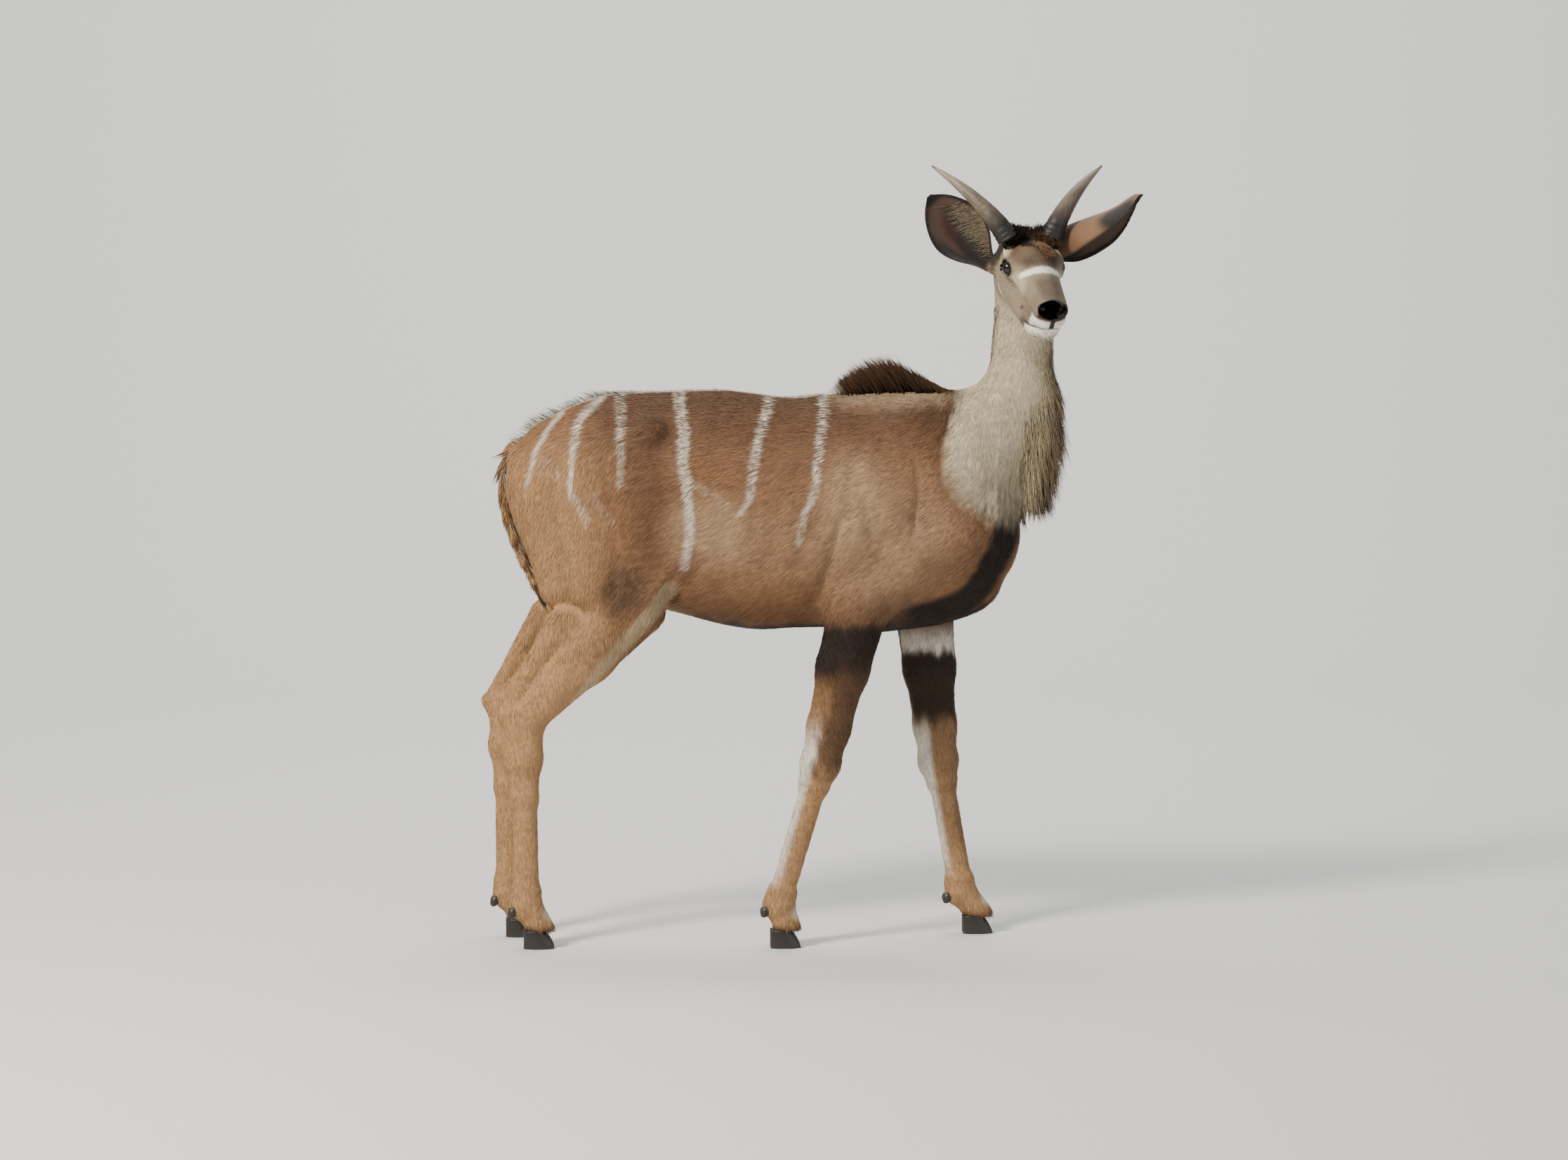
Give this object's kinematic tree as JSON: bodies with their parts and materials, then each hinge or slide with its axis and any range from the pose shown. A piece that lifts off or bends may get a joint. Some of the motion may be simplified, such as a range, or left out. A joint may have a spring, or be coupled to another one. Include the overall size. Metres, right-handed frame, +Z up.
{
  "type": "greater kudu",
  "caption": "Life-size young bull kudu standing with its head turned, striped body, withers crest, throat fringe, cupped ears and short curving horns.",
  "frame": {"origin": "centre of the bounding box, at the level of the soles", "axes": "+X the way the body faces, +Y to its left, +Z up; the head is turned towards -Y"},
  "size_m": [1.454, 0.4192, 1.7019],
  "materials": {
    "coat": "short dense hair, fawn brown with thin white stripes",
    "face": "short grey-brown hair, white bar and lips",
    "leg_coat": "very short tan hair",
    "ear": "short hair, dark red-brown inside with pale fringes",
    "horn": "ridged grey-brown horn",
    "hoof": "dark smooth horn",
    "eye": "wet dark brown"
  },
  "bodies": {
    "root": {"torso": "coat", "neck": "coat", "head": "face", "tail": "coat", "ear_right": "ear", "ear_left": "ear", "eye_right": "eye", "eye_left": "eye", "horn_right": "horn", "horn_left": "horn", "foreleg_right_upper": "leg_coat", "foreleg_right_lower": "leg_coat", "foreleg_right_hoof_right": "hoof", "foreleg_right_dewclaw_right": "hoof", "foreleg_right_hoof_left": "hoof", "foreleg_right_dewclaw_left": "hoof", "foreleg_left_upper": "leg_coat", "foreleg_left_lower": "leg_coat", "foreleg_left_hoof_right": "hoof", "foreleg_left_dewclaw_right": "hoof", "foreleg_left_hoof_left": "hoof", "foreleg_left_dewclaw_left": "hoof", "hindleg_right_upper": "leg_coat", "hindleg_right_lower": "leg_coat", "hindleg_right_hoof_right": "hoof", "hindleg_right_dewclaw_right": "hoof", "hindleg_right_hoof_left": "hoof", "hindleg_right_dewclaw_left": "hoof", "hindleg_left_upper": "leg_coat", "hindleg_left_lower": "leg_coat", "hindleg_left_hoof_right": "hoof", "hindleg_left_dewclaw_right": "hoof", "hindleg_left_hoof_left": "hoof", "hindleg_left_dewclaw_left": "hoof"}
  },
  "joints": []
}
